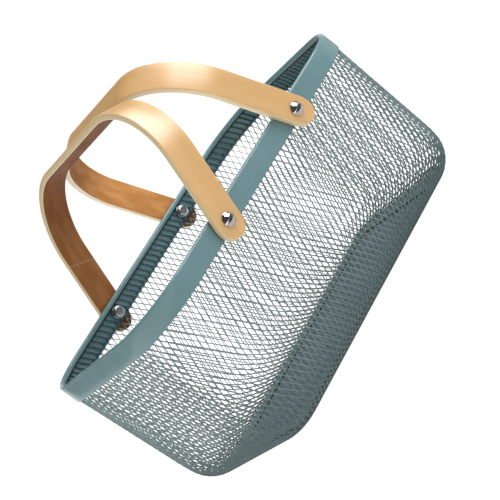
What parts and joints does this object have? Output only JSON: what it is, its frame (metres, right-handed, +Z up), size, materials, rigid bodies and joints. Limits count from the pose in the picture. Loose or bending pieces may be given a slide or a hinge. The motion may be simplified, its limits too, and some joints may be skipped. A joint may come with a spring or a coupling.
{
  "type": "desk basket",
  "caption": "Rectangular desk basket of painted expanded-metal mesh with a folded rim band and paired bentwood handles that swing on domed pivots.",
  "frame": {"origin": "centre of the flat underside, on the surface that the basket stands on", "axes": "+X along the long side, +Y across the short side from the front to the back, +Z up"},
  "size_m": [0.26, 0.1942, 0.2075],
  "materials": {
    "mesh_paint": "satin grey-teal powder coat on expanded steel mesh",
    "band_paint": "satin grey-teal powder coat on smooth steel strip",
    "birch": "clear-lacquered bent birch veneer with pale layered edges",
    "dome_chrome": "polished",
    "screw_zinc": "bright zinc plate"
  },
  "bodies": {
    "basket": {"mesh_front": "mesh_paint", "mesh_back": "mesh_paint", "mesh_left": "mesh_paint", "mesh_right": "mesh_paint", "mesh_corner_front_left": "mesh_paint", "mesh_corner_front_right": "mesh_paint", "mesh_corner_back_left": "mesh_paint", "mesh_corner_back_right": "mesh_paint", "mesh_base": "mesh_paint", "rim_band": "band_paint", "sleeve_nut_front_left": "dome_chrome", "sleeve_nut_back_left": "dome_chrome", "sleeve_nut_front_right": "dome_chrome", "sleeve_nut_back_right": "dome_chrome", "screw_front_left": "screw_zinc", "screw_back_left": "screw_zinc", "screw_front_right": "screw_zinc", "screw_back_right": "screw_zinc", "washer_front_left": "screw_zinc", "washer_back_left": "screw_zinc", "washer_front_right": "screw_zinc", "washer_back_right": "screw_zinc"},
    "handle_left": {"handle_left": "birch"},
    "handle_right": {"handle_right": "birch"}
  },
  "joints": [
    {"name": "handle_left_swing", "type": "hinge", "parent": "basket", "child": "handle_left", "pos_m": [-0.0461, 0, 0.1122], "axis": [0, -1, 0], "range_deg": [0, 135.2]},
    {"name": "handle_right_swing", "type": "hinge", "parent": "basket", "child": "handle_right", "pos_m": [0.0461, 0, 0.1122], "axis": [0, 1, 0], "range_deg": [0, 133.8]}
  ]
}
